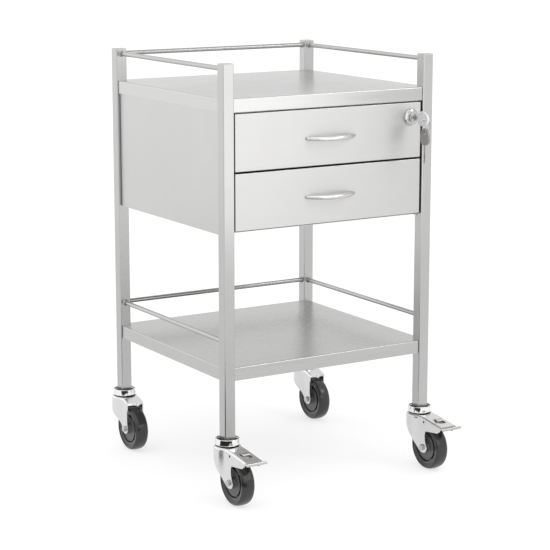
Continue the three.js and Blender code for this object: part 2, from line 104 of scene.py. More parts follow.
def node_box(node):
    low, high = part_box(node)
    return low / MM, high / MM


def node_middle(node):
    low, high = node_box(node)
    return (low + high) / 2


def posts_middle():
    low, _ = node_box("post_front_left")
    _, high = node_box("post_rear_right")
    return (low + high) / 2


MIDDLE = posts_middle()
POST_HALF = (node_box("post_front_left")[1].x - node_box("post_front_left")[0].x) / 2
POST_X = node_middle("post_front_right").x
POST_Y = node_middle("post_rear_right").y - MIDDLE.y


# ---- Outlines ----


def arc(centre, radius, start, end, steps):
    """Points of an arc in a plane; angles in degrees."""
    points = []
    for i in range(steps + 1):
        angle = math.radians(start + (end - start) * i / steps)
        points.append((centre[0] + radius * math.cos(angle), centre[1] + radius * math.sin(angle)))
    return points


def bore_outline(centre, radius):
    """A round hole's edge, as a loop of 15-degree steps."""
    return arc(centre, radius, 0, 345, 23)


def bezier(p0, p1, p2, p3, steps):
    """Points of a cubic curve, without its first one."""
    points = []
    for i in range(1, steps + 1):
        t = i / steps
        weights = ((1 - t) ** 3, 3 * t * (1 - t) ** 2, 3 * t * t * (1 - t), t ** 3)
        points.append(tuple(sum(w * p[k] for w, p in zip(weights, (p0, p1, p2, p3))) for k in (0, 1)))
    return points


def rounded_rectangle(half_u, half_v, radius, steps=5):
    points = []
    for quarter, (su, sv) in enumerate(((1, 1), (-1, 1), (-1, -1), (1, -1))):
        centre = (su * (half_u - radius), sv * (half_v - radius))
        points += arc(centre, radius, 90 * quarter, 90 * quarter + 90, steps)
    return points


def filleted(points, radius, steps=4):
    """A polyline with its corners rounded. radius is one number, or one for each point."""
    count = len(points)
    radii = radius if isinstance(radius, (list, tuple)) else [radius] * count
    result = []
    for i in range(count):
        corner = Vector(points[i])
        if i in (0, count - 1) or radii[i] <= 0:
            result.append(tuple(corner))
            continue
        back = Vector(points[i - 1]) - corner
        ahead = Vector(points[i + 1]) - corner
        reach = radii[i] / math.tan(back.angle(ahead) / 2)
        reach = min(reach, 0.48 * back.length, 0.48 * ahead.length)
        start = corner + back.normalized() * reach
        end = corner + ahead.normalized() * reach
        for k in range(steps + 1):
            t = k / steps
            result.append(tuple((1 - t) ** 2 * start + 2 * t * (1 - t) * corner + t * t * end))
    return result


# ---- Mesh building ----


def loft(bm, rings, closed=True, caps=(False, False)):
    """Faces between rings of points. A ring of one point is a tip."""
    loops = [[bm.verts.new(p) for p in ring] for ring in rings]
    size = max(len(loop) for loop in loops)
    for a, b in zip(loops, loops[1:]):
        for i in range(size if closed else size - 1):
            j = (i + 1) % size
            corners = [a[i % len(a)], a[j % len(a)], b[j % len(b)], b[i % len(b)]]
            bm.faces.new(list(dict.fromkeys(corners)))
    if caps[0]:
        bm.faces.new(loops[0])
    if caps[1]:
        bm.faces.new(loops[-1])


def turned(bm, profile, segments, closed=False, wobble=None, matrix=None):
    """A profile of (radius, height) points turned about Z, then placed by matrix."""
    rings = []
    for radius, height in profile + profile[:1] * closed:
        if radius < 1e-6:
            rings.append([(0, 0, height)])
            continue
        ring = []
        for i in range(segments):
            angle = 2 * math.pi * i / segments
            r = wobble(radius, angle) if wobble else radius
            ring.append((r * math.cos(angle), r * math.sin(angle), height))
        rings.append(ring)
    before = set(bm.verts)
    loft(bm, rings)
    new = [v for v in bm.verts if v not in before]
    if closed:
        bmesh.ops.remove_doubles(bm, verts=new, dist=1e-4)
        new = [v for v in bm.verts if v not in before]
    if matrix:
        bmesh.ops.transform(bm, matrix=matrix, verts=new)


def plate(bm, outline, thickness, place, holes=()):
    """A flat plate. place turns (u, v, depth) into a point."""
    edges = []
    for loop in (outline, *holes):
        verts = [bm.verts.new(place(u, v, 0)) for u, v in loop]
        edges += [bm.edges.new((verts[i - 1], verts[i])) for i in range(len(verts))]
    if holes:
        filled = bmesh.ops.triangle_fill(bm, edges=edges, use_beauty=True, use_dissolve=False)
        faces = [g for g in filled["geom"] if isinstance(g, bmesh.types.BMFace)]
    else:
        faces = [bm.faces.new([e.verts[1] for e in edges])]
    shift = Vector(place(0, 0, thickness)) - Vector(place(0, 0, 0))
    grown = bmesh.ops.extrude_face_region(bm, geom=faces, use_keep_orig=True)
    verts = [g for g in grown["geom"] if isinstance(g, bmesh.types.BMVert)]
    bmesh.ops.translate(bm, vec=shift, verts=verts)


def strip(bm, path, place, ends):
    """A sheet that follows path (u, v), from depth ends[0] to ends[1]."""
    loft(bm, [[place(u, v, ends[0]), place(u, v, ends[1])] for u, v in path], closed=False)


def swept(bm, centres, radii, sides, normal=(0, 0, 1)):
    """A round bar along centres, with flat ends."""
    up = Vector(normal)
    rings = []
    count = len(centres)
    for i, centre in enumerate(centres):
        ahead = Vector(centres[min(i + 1, count - 1)]) - Vector(centres[max(i - 1, 0)])
        side = ahead.cross(up).normalized()
        top = side.cross(ahead).normalized()
        ring = []
        for k in range(sides):
            angle = 2 * math.pi * k / sides
            offset = side * math.cos(angle) + top * math.sin(angle)
            ring.append(tuple(Vector(centre) + offset * radii[i]))
        rings.append(ring)
    loft(bm, rings, caps=(True, True))


def along_x(u, v, depth):
    return (depth, u, v)


def along_y(u, v, depth):
    return (u, depth, v)


def along_z(u, v, depth):
    return (u, v, depth)


SHARP = 38  # degrees; a sharper bend is an edge, and a gentler one is part of a curve


def add_modifier(obj, kind, **settings):
    modifier = obj.modifiers.new(kind.lower(), kind)
    for key, value in settings.items():
        setattr(modifier, key, value)


def soften(obj, width, segments=2, angle=SHARP):
    """Rounds the edges sharper than angle."""
    add_modifier(
        obj,
        "BEVEL",
        width=width * MM,
        segments=segments,
        limit_method="ANGLE",
        angle_limit=math.radians(angle),
        harden_normals=True,
        use_clamp_overlap=True,
    )


def thicken(obj, thickness):
    """Turns a mid-surface into sheet."""
    add_modifier(obj, "SOLIDIFY", thickness=thickness * MM, offset=0.0, use_even_offset=True)


def make_object(name, bm, origin=(0, 0, 0)):
    bmesh.ops.recalc_face_normals(bm, faces=bm.faces)
    bmesh.ops.translate(bm, vec=Vector(origin), verts=bm.verts)
    bmesh.ops.scale(bm, vec=(MM, MM, MM), verts=bm.verts)
    mesh = bpy.data.meshes.new(name)
    bm.to_mesh(mesh)
    bm.free()
    obj = bpy.data.objects.new(name, mesh)
    bpy.context.scene.collection.objects.link(obj)
    return obj


def smooth(obj):
    """Smooth shading. Flat faces stay flat: by sharp edges, or by weighted normals over a bevel."""
    mesh = obj.data
    mesh.polygons.foreach_set("use_smooth", [True] * len(mesh.polygons))
    if obj.modifiers:
        add_modifier(obj, "WEIGHTED_NORMAL", mode="FACE_AREA", weight=90, keep_sharp=False)
    else:
        mesh.set_sharp_from_angle(angle=math.radians(SHARP))


def apply_modifiers(obj):
    graph = bpy.context.evaluated_depsgraph_get()
    mesh = bpy.data.meshes.new_from_object(obj.evaluated_get(graph))
    obj.modifiers.clear()
    obj.data = mesh


def cut(obj, cutters, operation="DIFFERENCE"):
    """Cuts obj by closed objects, which are then removed."""
    for cutter in cutters:
        add_modifier(obj, "BOOLEAN", operation=operation, object=cutter, solver="EXACT")
    apply_modifiers(obj)
    for cutter in cutters:
        bpy.data.objects.remove(cutter)


def paint(obj, plain, special, is_special):
    """Two materials: special on the faces that is_special picks, and plain on the others."""
    obj.data.materials.append(plain)
    obj.data.materials.append(special)
    for face in obj.data.polygons:
        face.material_index = int(is_special(face))


def dress(obj, material, body, node):
    """Material (None where the faces have theirs), body and CAD node of a finished piece."""
    smooth(obj)
    if material:
        obj.data.materials.append(material)
    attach(obj, body)
    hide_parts(node)


# ---- Materials ----


class Nodes:
    """Builds the nodes of a material or a world."""

    def __init__(self, owner):
        owner.use_nodes = True
        self.tree = owner.node_tree

    def node(self, kind, inputs=None, **settings):
        made = self.tree.nodes.new(kind)
        for key, value in settings.items():
            setattr(made, key, value)
        for key, value in (inputs or {}).items():
            self.feed(made.inputs[key], value)
        return made

    def feed(self, socket, value):
        if isinstance(value, bpy.types.NodeSocket):
            self.tree.links.new(value, socket)
        else:
            socket.default_value = value

    def math(self, operation, a, b=0.0):
        return self.node("ShaderNodeMath", {0: a, 1: b}, operation=operation).outputs[0]

    def ranged(self, value, low, high, to_low, to_high, **settings):
        inputs = {0: value, 1: low, 2: high, 3: to_low, 4: to_high}
        return self.node("ShaderNodeMapRange", inputs, **settings).outputs[0]


class Shader(Nodes):
    """A Principled material."""

    def __init__(self, name):
        self.material = bpy.data.materials.new(name)
        super().__init__(self.material)
        self.principled = self.tree.nodes["Principled BSDF"]
        self.coords = self.node("ShaderNodeTexCoord").outputs["Object"]

    def noise(self, scale, detail=3.0, stretch=(1, 1, 1)):
        """Noise from about 0.2 to 0.8. scale is in features to the metre."""
        mapped = self.node("ShaderNodeMapping", {"Vector": self.coords, "Scale": stretch}).outputs[0]
        inputs = {"Vector": mapped, "Scale": scale, "Detail": detail}
        return self.node("ShaderNodeTexNoise", inputs).outputs[0]

    def blend(self, factor, a, b):
        made = self.node("ShaderNodeMix", data_type="RGBA")
        self.feed(made.inputs[0], factor)
        self.feed(made.inputs[6], a)
        self.feed(made.inputs[7], b)
        return made.outputs[2]

    def edges(self, radius):
        """About 1 on an edge and 0 on a flat."""
        rounded = self.node("ShaderNodeBevel", {"Radius": radius * MM}, samples=3).outputs[0]
        plain = self.node("ShaderNodeNewGeometry").outputs["Normal"]
        along = self.node("ShaderNodeVectorMath", {0: rounded, 1: plain}, operation="DOT_PRODUCT")
        return self.ranged(along.outputs["Value"], 0.995, 0.86, 0.0, 1.0)

    def bump(self, layers):
        """layers: (height socket, strength, distance in millimetres)."""
        normal = None
        for height, strength, distance in layers:
            inputs = {"Height": height, "Strength": strength, "Distance": distance * MM}
            if normal:
                inputs["Normal"] = normal
            normal = self.node("ShaderNodeBump", inputs).outputs[0]
        self.feed(self.principled.inputs["Normal"], normal)

    def set(self, **inputs):
        for key, value in inputs.items():
            self.feed(self.principled.inputs[key.replace("_", " ")], value)


def tint(level, warmth=0.0):
    return (level * (1 + warmth), level, level * (1 - warmth), 1.0)


GRAIN_STRETCH = {"x": (0.012, 1, 1), "y": (1, 0.012, 1), "z": (1, 1, 0.012)}


def brushed_metal(name, level, roughness, grain, tangent, turn, anisotropy=0.6, warmth=0.006):
    """Satin sheet or tube, brushed along one axis, a little brighter and smoother on its edges."""
    s = Shader(name)
    streaks = s.noise(1400.0, 2.0, GRAIN_STRETCH[grain])
    bands = s.noise(160.0, 2.0, GRAIN_STRETCH[grain])
    clouds = s.noise(4.0, 3.0)
    smears = s.noise(22.0, 4.0)
    worn = s.edges(0.9)
    tone = s.math("ADD", s.math("MULTIPLY", streaks, 0.35), s.math("MULTIPLY", clouds, 0.4))
    tone = s.math("ADD", tone, s.math("MULTIPLY", bands, 0.25))
    tone = s.ranged(tone, 0.35, 0.65, 0.0, 1.0)
    body = s.blend(tone, tint(level * 0.975, warmth), tint(level * 1.02, warmth))
    s.set(Base_Color=s.blend(worn, body, tint(min(level * 1.1, 0.95), 0.0)), Metallic=1.0)
    rough = s.math("ADD", s.ranged(streaks, 0.3, 0.7, -0.03, 0.03), roughness)
    rough = s.math("ADD", rough, s.ranged(smears, 0.35, 0.7, -0.01, 0.015))
    rough = s.math("SUBTRACT", rough, s.math("MULTIPLY", worn, 0.1))
    s.set(Roughness=rough, Anisotropic=anisotropy, Anisotropic_Rotation=turn)
    direction = s.node("ShaderNodeTangent", direction_type="RADIAL", axis=tangent)
    s.set(Tangent=direction.outputs[0])
    s.bump(((clouds, 0.05, 0.4), (streaks, 0.04, 0.02)))
    return s.material


def plated(name, level, roughness, haze=0.05, warmth=0.0):
    """Plated steel: a smooth coat with faint haze, ripples and small specks."""
    s = Shader(name)
    clouds = s.noise(60.0, 4.0)
    ripples = s.noise(150.0, 2.0)
    specks = s.noise(2200.0, 2.0)
    worn = s.edges(0.7)
    pits = s.ranged(specks, 0.68, 0.76, 0.0, 1.0)
    body = s.blend(clouds, tint(level * 0.94, warmth), tint(min(level * 1.04, 0.96), warmth))
    body = s.blend(s.math("MULTIPLY", pits, 0.3), body, tint(level * 0.55, 0.02))
    s.set(Base_Color=s.blend(s.math("MULTIPLY", worn, 0.5), body, tint(0.95)), Metallic=1.0)
    rough = s.math("ADD", s.ranged(clouds, 0.35, 0.7, 0.0, haze), roughness)
    s.set(Roughness=s.math("ADD", rough, s.math("MULTIPLY", pits, 0.12)))
    s.bump(((ripples, 0.06, 0.25), (specks, 0.03, 0.03)))
    return s.material


def moulded(name, level, roughness, warmth=0.0, texture=0.3):
    """Moulded plastic with a fine texture, scuffed pale on its edges."""
    s = Shader(name)
    clouds = s.noise(45.0, 4.0)
    grains = s.noise(2600.0, 2.0)
    scuffs = s.ranged(s.noise(240.0, 5.0), 0.55, 0.75, 0.0, 1.0)
    worn = s.math("MULTIPLY", s.edges(0.8), s.ranged(clouds, 0.35, 0.6, 0.2, 0.8))
    body = s.blend(clouds, tint(level * 0.86, warmth), tint(level * 1.12, warmth))
    body = s.blend(s.math("MULTIPLY", scuffs, 0.12), body, tint(level * 1.5, warmth))
    s.set(Base_Color=s.blend(s.math("MULTIPLY", worn, 0.45), body, tint(min(level * 1.9, 0.9), warmth)))
    s.set(Roughness=s.ranged(grains, 0.3, 0.7, roughness - 0.06, roughness + 0.08))
    s.bump(((grains, texture, 0.05), (clouds, 0.05, 0.3)))
    return s.material


def rubber(name, level):
    """Solid tyre rubber, paler where it is worn, with a little dust."""
    s = Shader(name)
    clouds = s.noise(35.0, 4.0)
    grains = s.noise(1800.0, 3.0)
    dust = s.math("MULTIPLY", s.ranged(s.noise(90.0, 5.0), 0.5, 0.72, 0.0, 1.0), 0.25)
    worn = s.edges(0.8)
    body = s.blend(clouds, tint(level * 0.8), tint(level * 1.2))
    body = s.blend(dust, body, tint(level * 2.2, 0.03))
    s.set(Base_Color=s.blend(worn, body, tint(level * 5.0)))
    s.set(Roughness=s.ranged(clouds, 0.3, 0.7, 0.16, 0.28), Specular_IOR_Level=0.6)
    s.bump(((grains, 0.18, 0.06), (clouds, 0.08, 0.3)))
    return s.material


def matte(name, level):
    """Dark and dull: the oily steel of a race darkened into painted shade, the same painted shade in a
    recess and a pin's hole, or card.
    """
    s = Shader(name)
    clouds = s.noise(200.0, 4.0)
    s.set(Base_Color=s.blend(clouds, tint(level * 0.7), tint(level * 1.3)), Metallic=0.4)
    s.set(Roughness=s.ranged(clouds, 0.3, 0.7, 0.75, 0.9))
    s.bump(((clouds, 0.2, 0.1),))
    return s.material


POST_STEEL = brushed_metal("post_steel", 0.47, 0.30, "z", "Z", 0.0)
RAIL_X_STEEL = brushed_metal("rail_steel_x", 0.36, 0.26, "x", "X", 0.0, 0.4)
RAIL_Y_STEEL = brushed_metal("rail_steel_y", 0.43, 0.26, "y", "Y", 0.0, 0.4)
TRAY_STEEL = brushed_metal("tray_steel", 0.51, 0.24, "x", "Y", 0.0, 0.45)
SHELF_STEEL = brushed_metal("shelf_steel", 0.47, 0.26, "x", "Y", 0.0, 0.45)
PANEL_STEEL = brushed_metal("panel_steel", 0.52, 0.32, "z", "Z", 0.0, 0.5)
FRONT_STEEL = brushed_metal("front_steel", 0.54, 0.44, "x", "Z", 0.25, 0.5)
# A darker copy of the front's steel: painted shade in the gaps between the drawer fronts.
FLANGE_PAINTED_SHADE = brushed_metal("flange_painted_shade", 0.26, 0.4, "x", "Y", 0.0, 0.3)
SLIDE_STEEL = brushed_metal("slide_steel", 0.48, 0.3, "y", "Y", 0.25, 0.4, 0.0)
BOX_STEEL = brushed_metal("box_steel", 0.52, 0.36, "y", "Y", 0.25, 0.4)
HANDLE_STEEL = brushed_metal("handle_steel", 0.62, 0.26, "x", "X", 0.0, 0.3)
CHROME = plated("chrome", 0.82, 0.05)
FORK_CHROME = plated("fork_chrome", 0.68, 0.16, 0.06)
ZINC = plated("bright_zinc", 0.5, 0.15, 0.1)
LEVER_STEEL = plated("lever_steel", 0.52, 0.24, 0.12, 0.03)
LOCK_CHROME = plated("lock_chrome", 0.5, 0.08)
RING_STEEL = plated("ring_steel", 0.16, 0.2)
NICKEL = plated("nickel", 0.52, 0.22, 0.1, 0.02)
HUB_PLASTIC = moulded("hub_plastic", 0.085, 0.42)
TYRE_RUBBER = rubber("tyre_rubber", 0.014)
KEY_LIGHT = moulded("key_light", 0.62, 0.35, 0.0, 0.12)
# The spare key's head: a darker copy of the other key head's plastic, as painted shade.
KEY_HEAD_SHADED = moulded("key_grey", 0.23, 0.38, 0.03, 0.12)
# Near-black painted shade: the line under each cup, the recess round its plug, and the brake pin's hole.
RACE_PAINTED_SHADE = matte("race_painted_shade", 0.02)


# ---- Frame ----


def build_post(end, side):
    node = f"post_{end}_{side}"
    low, high = node_box(node)
    centre = (low + high) / 2
    bore = POST_HALF - POST_WALL
    cap_edge = 0.9
    seam = 2.2  # the cap's ground weld below the top
    levels = [
        (POST_HALF - cap_edge, POST_CORNER - cap_edge, high.z),
        (POST_HALF - 0.3 * cap_edge, POST_CORNER - 0.3 * cap_edge, high.z - 0.3 * cap_edge),
        (POST_HALF, POST_CORNER, high.z - cap_edge),
        (POST_HALF, POST_CORNER, high.z - seam + 0.35),
        (POST_HALF - 0.18, POST_CORNER, high.z - seam),
        (POST_HALF, POST_CORNER, high.z - seam - 0.35),
        (POST_HALF, POST_CORNER, low.z),
        (bore, POST_CORNER - POST_WALL, low.z),
        (bore, POST_CORNER - POST_WALL, high.z - POST_WALL),
    ]
    bm = bmesh.new()
    rings = []
    for half, corner, z in levels:
        rings.append([(centre.x + u, centre.y + v, z) for u, v in rounded_rectangle(half, half, corner)])
    loft(bm, rings, caps=(True, True))
    obj = make_object(node + "_tube", bm)
    soften(obj, 0.2, 1)
    dress(obj, POST_STEEL, "frame", node)


def weld_ripple(radius, angle):
    """Ripples round the weld beads at the two ends of a rail."""
    bead = max(0.0, radius - 5.2)
    return radius + 0.16 * bead * math.sin(13 * angle + 2.0 * math.sin(3 * angle))


def build_rail(level, place):
    node = f"{level}_rail_{place}"
    low, high = node_box(node)
    centre = (low + high) / 2
    across = place == "rear"
    length = (high - low).x if across else (high - low).y
    radius = (high - low).z / 2
    half = length / 2 + 0.25  # a little into the posts
    grown = ((-radius, 0), (1.9, 0), (1.8, 0.6), (1.1, 1.4), (0.35, 2.1), (0, 3.0), (0, 4))
    bead = [(radius + more, z - half) for more, z in grown]
    profile = [*bead, (radius, 0), *[(r, -z) for r, z in reversed(bead)]]
    turn = Matrix.Rotation(math.pi / 2, 4, "Y" if across else "X")
    bm = bmesh.new()
    turned(bm, profile, 48, wobble=weld_ripple, matrix=Matrix.Translation(centre) @ turn)
    steel = RAIL_X_STEEL if across else RAIL_Y_STEEL
    dress(make_object(node + "_bar", bm), steel, "frame", node)


def build_pan(node, name, steel):
    """A sheet folded down on four sides, with its corners notched round the posts."""
    low, high = node_box(node)
    centre = (low + high) / 2
    t = PAN_SHEET / 2
    bend = PAN_BEND - t
    reach = Vector(((high.x - low.x) / 2 - t, (high.y - low.y) / 2 - t))
    notch = Vector((POST_X, POST_Y)) - Vector((1, 1)) * (POST_HALF + POST_CLEARANCE)
    top = high.z - t
    bm = bmesh.new()
    outline = []
    for sx, sy in ((1, 1), (-1, 1), (-1, -1), (1, -1)):
        corner = [(sx * notch.x, sy * (reach.y - bend)), (sx * notch.x, sy * notch.y)]
        corner.append((sx * (reach.x - bend), sy * notch.y))
        outline += corner if sx * sy < 0 else corner[::-1]
    bm.faces.new([bm.verts.new((u, v, top)) for u, v in outline])
    fold = arc((0, top - bend), bend, 90, 0, 5) + [(bend, low.z)]
    for sign in (-1, 1):
        edge = [[(sign * (reach.x - bend + r), y, z) for y in (-notch.y, notch.y)] for r, z in fold]
        loft(bm, edge, closed=False)
        edge = [[(x, sign * (reach.y - bend + r), z) for x in (-notch.x, notch.x)] for r, z in fold]
        loft(bm, edge, closed=False)
    bmesh.ops.remove_doubles(bm, verts=bm.verts, dist=1e-3)
    obj = make_object(name, bm, (centre.x, centre.y, 0))
    thicken(obj, PAN_SHEET)
    soften(obj, 0.35)
    dress(obj, steel, "frame", node)


# ---- Cabinet ----


def cabinet_sheet(name, bm):
    obj = make_object(name, bm, (0, MIDDLE.y, 0))
    thicken(obj, SHEET)
    soften(obj, 0.25)
    dress(obj, PANEL_STEEL, "frame", "cabinet_shell")


def mirrored_across(right):
    """A closed outline, symmetrical in x, from its right half."""
    return right + [(-u, v) for u, v in reversed(right)]


def build_cabinet():
    """The folded wall round the inside of the posts, the floor, and the rail the lock hooks behind."""
    low, high = node_box("cabinet_shell")
    t = SHEET / 2
    lining = POST_X - POST_HALF - POST_CLEARANCE - t
    panel = high.x - t
    rear = POST_Y - POST_HALF - REAR_CLEARANCE - t
    front = POST_HALF - POST_Y + POST_CLEARANCE + t
    first, last = low.y - MIDDLE.y, high.y - MIDDLE.y
    path = [(0, last - t), (-lining, last - t), (-lining, rear), (-panel, rear), (-panel, front)]
    path += [(-lining, front), (-lining, first)]
    left = filleted(path, SHEET_BEND)
    bm = bmesh.new()
    strip(bm, [(-u, v) for u, v in left[:0:-1]] + left, along_z, (low.z, high.z))
    cabinet_sheet("cabinet_walls", bm)

    gap = 0.1
    inside, wide = lining - t - gap, panel - t - gap
    right = [(inside, first), (inside, front + t + gap), (wide, front + t + gap)]
    right += [(wide, rear - t - gap), (inside, rear - t - gap), (inside, last - SHEET - gap)]
    bm = bmesh.new()
    bm.faces.new([bm.verts.new((u, v, CABINET_FLOOR + t)) for u, v in mirrored_across(right)])
    cabinet_sheet("cabinet_floor", bm)

    bm = bmesh.new()
    strip(bm, [(first + t, high.z - 0.2), (first + t, LOCK_RAIL_BOTTOM)], along_x, (-inside, inside))
    cabinet_sheet("lock_rail", bm)


# ---- Slides ----


def build_slide(level, member, side):
    node = f"{level}_slide_{member}_{side}"
    low, high = node_box(node)
    sign = SIDES[side]
    t = SHEET / 2
    web_outside = member != "inner"
    web = high.x - t if (sign > 0) == web_outside else low.x + t
    edge = low.x if (sign > 0) == web_outside else high.x
    path = [(edge, low.z + t), (web, low.z + t), (web, high.z - t), (edge, high.z - t)]
    bm = bmesh.new()
    strip(bm, filleted(path, 1.5), along_y, (low.y, high.y))
    obj = make_object(node + "_channel", bm)
    thicken(obj, SHEET)
    soften(obj, 0.2, 1)
    body = {"outer": "frame", "middle": f"{level}_slide_carriage", "inner": f"{level}_drawer"}[member]
    dress(obj, SLIDE_STEEL, body, node)


# ---- Drawers ----


def lock_centre():
    return node_middle("lock_barrel")


def build_front(level):
    """A shallow sheet pan, open behind, with rounded folds."""
    node = f"{level}_drawer_front"
    low, high = node_box(node)
    t = SHEET / 2
    x0, x1, z0, z1 = low.x + t, high.x - t, low.z + t, high.z - t
    y0, y1 = low.y + t, high.y
    bm = bmesh.new()
    rim = [(x0, z0), (x1, z0), (x1, z1), (x0, z1)]
    face = [bm.verts.new((u, y0, v)) for u, v in rim]
    back = [bm.verts.new((u, y1, v)) for u, v in rim]
    for i in range(4):
        bm.faces.new((face[i - 1], face[i], back[i], back[i - 1]))
    if level == "upper":
        lock = lock_centre()
        edge = arc((lock.x, lock.z), BARREL_RADIUS + 0.4, 0, 350, 35)
        hole = [bm.verts.new((u, y0, v)) for u, v in edge]
        edges = [bm.edges.new((hole[i - 1], hole[i])) for i in range(len(hole))]
        edges += [bm.edges.get((face[i - 1], face[i])) for i in range(4)]
        bmesh.ops.triangle_fill(bm, edges=edges, use_beauty=True, use_dissolve=False)
    else:
        bm.faces.new(face)
    obj = make_object(f"{level}_drawer_face", bm)
    # The fronts' folded flanges get the darker copy of the steel: painted shade in the gaps between the
    # drawers.
    paint(obj, FRONT_STEEL, FLANGE_PAINTED_SHADE, lambda part: abs(part.normal.y) < 0.5)
    soften(obj, 1.5, 4, 60)
    thicken(obj, SHEET)
    dress(obj, None, f"{level}_drawer", node)


def build_box(level):
    """The drawer's tray, with a higher wall behind the front."""
    node = f"{level}_drawer_box"
    low, high = node_box(node)
    t = SHEET / 2
    x0, x1, y0, y1, z0 = low.x + t, high.x - t, low.y + t, high.y - t, low.z + t
    bm = bmesh.new()
    floor = [bm.verts.new(p) for p in ((x0, y0, z0), (x1, y0, z0), (x1, y1, z0), (x0, y1, z0))]
    rim = [bm.verts.new((v.co.x, v.co.y, low.z + DRAWER_SIDE)) for v in floor]
    tall = [bm.verts.new((x, y0, high.z)) for x in (x1, x0)]
    bm.faces.new(floor)
    for i in (1, 2, 3):
        j = (i + 1) % 4
        bm.faces.new((floor[i], floor[j], rim[j], rim[i]))
    bm.faces.new((floor[0], floor[1], rim[1], *tall, rim[0]))
    obj = make_object(f"{level}_drawer_tray", bm)
    soften(obj, 1.8, 3, 60)
    thicken(obj, SHEET)
    dress(obj, BOX_STEEL, f"{level}_drawer", node)


def build_handle(level):
    """A round bar bowed to an arc, thinner at its feet."""
    node = f"{level}_drawer_handle"
    low, high = node_box(node)
    middle = (low + high) / 2
    thick = (high.z - low.z) / 2
    chord = (high.x - low.x) / 2 - thick * 0.93
    reach = high.y - low.y - thick
    radius = (chord ** 2 + reach ** 2) / (2 * reach)
    half = math.asin(chord / radius)
    steps = 40
    centres = []
    radii = []
    for i in range(steps + 1):
        share = 2 * i / steps - 1
        angle = half * share
        out = high.y + 0.5 - reach + radius * (1 - math.cos(angle))
        centres.append((middle.x + radius * math.sin(angle), out, middle.z))
        radii.append(thick * (1 - 0.32 * abs(share) ** 4))
    bm = bmesh.new()
    swept(bm, centres, radii, 32)
    obj = make_object(f"{level}_handle_bar", bm)
    soften(obj, 0.5, 2)
    dress(obj, HANDLE_STEEL, f"{level}_drawer", node)


# ---- Lock and keys ----


def towards_viewer(centre, face_y):
    """Turns a lathe's Z to -Y, with height 0 at the drawer's face."""
    return Matrix.Translation((centre.x, face_y, centre.z)) @ Matrix.Rotation(math.pi / 2, 4, "X")


def build_lock():
    centre = lock_centre()
    face_y = node_box("upper_drawer_front")[0].y
    matrix = towards_viewer(centre, face_y)
    bore = 6.5
    profile = [(bore, -15.2), (BARREL_RADIUS, -15.2), (BARREL_RADIUS, 0.3), (18, 0.3), (18, 1.8)]
    profile += [(16.6, 4.4), (13.2, 6.3), (11.0, 6.3), (10.6, 7.2), (10.6, 12.4), (9.8, 13.0), (bore, 13.0)]
    rounded = [0, 0.4, 0.2, 0.4, 1.2, 2.4, 2.2, 0.8, 0.8, 0.8, 0.6, 0]
    bm = bmesh.new()
    turned(bm, filleted(profile, rounded, 5), 72, closed=True, matrix=matrix)
    obj = make_object("lock_body", bm)
    dress(obj, LOCK_CHROME, "upper_drawer", "lock_barrel")

    bm = bmesh.new()
    profile = [(0, -20), (4, -20), (4, -15), (6.2, -15), (6.2, 11), (0, 11)]
    turned(bm, filleted(profile, [0, 0.4, 0, 0.3, 0.9, 0], 4), 48, matrix=matrix)
    plug = make_object("lock_plug_turned", bm)
    bm = bmesh.new()
    slot = rounded_rectangle(1.4, 4.4, 0.8, 3)
    plate(bm, slot, 24, lambda u, v, d: (centre.x + u, face_y - 12 + d, centre.z + v))
    cut(plug, [make_object("keyway", bm)])
    dress(plug, NICKEL, "lock_cylinder", "lock_plug")

    low, high = node_box("lock_cam")
    bm = bmesh.new()
    outline = arc((0, 0), 8, -90, 90, 16) + arc((low.x + 6 - centre.x, 0), 6, 90, 270, 14)
    hole = arc((0, 0), 4.3, 0, 340, 17)
    plate(bm, outline, high.y - low.y, lambda u, v, d: (centre.x + u, low.y + d, centre.z + v), [hole])
    obj = make_object("lock_cam_finger", bm)
    soften(obj, 0.4)
    dress(obj, SLIDE_STEEL, "lock_cylinder", "lock_cam")


HEAD_END = KEY_HOLE_FROM_END - KEY_HEAD  # below the ring hole, where the blade comes out


def key_head_outline():
    """Egg-shaped head round the ring hole, wider towards the blade."""
    foot, waist, top = (-4, HEAD_END), (-15.5, HEAD_END + 12), (0, KEY_HOLE_FROM_END)
    points = [foot, *bezier(foot, (-9, HEAD_END + 1), (-14, HEAD_END + 5), waist, 8)]
    points += bezier(waist, (-15.5, HEAD_END + 24), (-10, KEY_HOLE_FROM_END), top, 12)
    return points + [(-u, v) for u, v in points[-2::-1]]


def key_blade_outline(tip):
    """Blade from inside the head to its tip, with a row of cuts on one edge."""
    top = HEAD_END + 4
    shoulder = HEAD_END - 3
    depths = (0.9, 2.0, 1.2, 2.4, 1.6)
    pitch = (shoulder - tip - 8) / len(depths)
    cuts = []
    for i, depth in enumerate(depths):
        z = shoulder - 2 - pitch * i
        cuts += [(4, z), (4 - depth, z - 0.35 * pitch)]
        cuts += [(4 - depth, z - 0.6 * pitch), (4, z - 0.95 * pitch)]
    return [(-4, top), (4, top), *cuts, (4, tip + 3.5), (1, tip), (-1.2, tip), (-4, tip + 3)]


